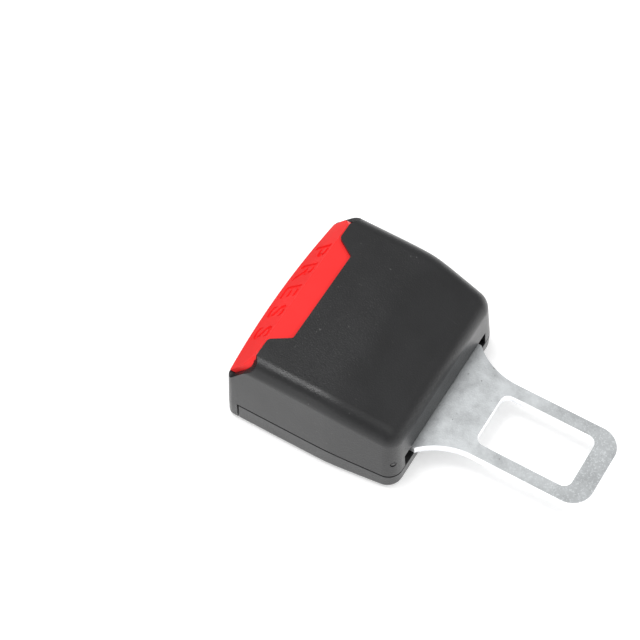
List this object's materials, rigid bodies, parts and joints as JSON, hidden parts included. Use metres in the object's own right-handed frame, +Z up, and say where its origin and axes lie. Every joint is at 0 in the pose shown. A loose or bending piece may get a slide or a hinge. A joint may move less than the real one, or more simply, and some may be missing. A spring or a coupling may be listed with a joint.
{
  "type": "seat belt extender",
  "caption": "Rigid seat belt extender: black buckle housing with a red press button and a flat steel tongue behind it.",
  "frame": {"origin": "under the middle of the whole length, at the height of the housing's underside", "axes": "+X from the housing towards the tongue's tip, +Z up, +Y across"},
  "size_m": [0.0882, 0.0532, 0.025],
  "materials": {
    "black_plastic": "fine moulded grain",
    "red_plastic": "satin",
    "white_plastic": "satin",
    "zinc_steel": "zinc plated, mottled",
    "bright_steel": "bright",
    "spring_steel": "drawn wire"
  },
  "bodies": {
    "housing": {"upper_shell": "black_plastic", "lower_cover": "black_plastic", "tongue_plate": "zinc_steel", "buckle_frame": "bright_steel", "rivet_1": "zinc_steel", "rivet_2": "zinc_steel", "rivet_3": "zinc_steel", "rivet_4": "zinc_steel", "latch_pin": "bright_steel", "latch_spring": "spring_steel", "ejector_spring": "spring_steel", "button_spring_left": "spring_steel", "button_spring_right": "spring_steel"},
    "button": {"press_button": "red_plastic", "release_bar": "bright_steel"},
    "ejector": {"ejector": "white_plastic"},
    "latch": {"latch_plate": "bright_steel"}
  },
  "joints": [
    {"name": "button_press", "type": "slide", "parent": "housing", "child": "button", "axis": [1, 0, 0], "range_m": [0, 0.005], "stiffness_N_per_m": 800, "springref_m": -0.004, "deforming": ["button_spring_left", "button_spring_right"]},
    {"name": "ejector_slide", "type": "slide", "parent": "housing", "child": "ejector", "axis": [1, 0, 0], "range_m": [0, 0.01], "stiffness_N_per_m": 300, "springref_m": -0.004, "deforming": ["ejector_spring"]},
    {"name": "latch_drop", "type": "hinge", "parent": "housing", "child": "latch", "pos_m": [-0.00555, 0, 0.0162], "axis": [0, -1, 0], "range_deg": [0, 13.6], "deforming": ["latch_spring"]}
  ],
  "couplings": [
    {"joint": "latch_drop", "follows": "ejector_slide", "rad_per_m": 23.7}
  ]
}
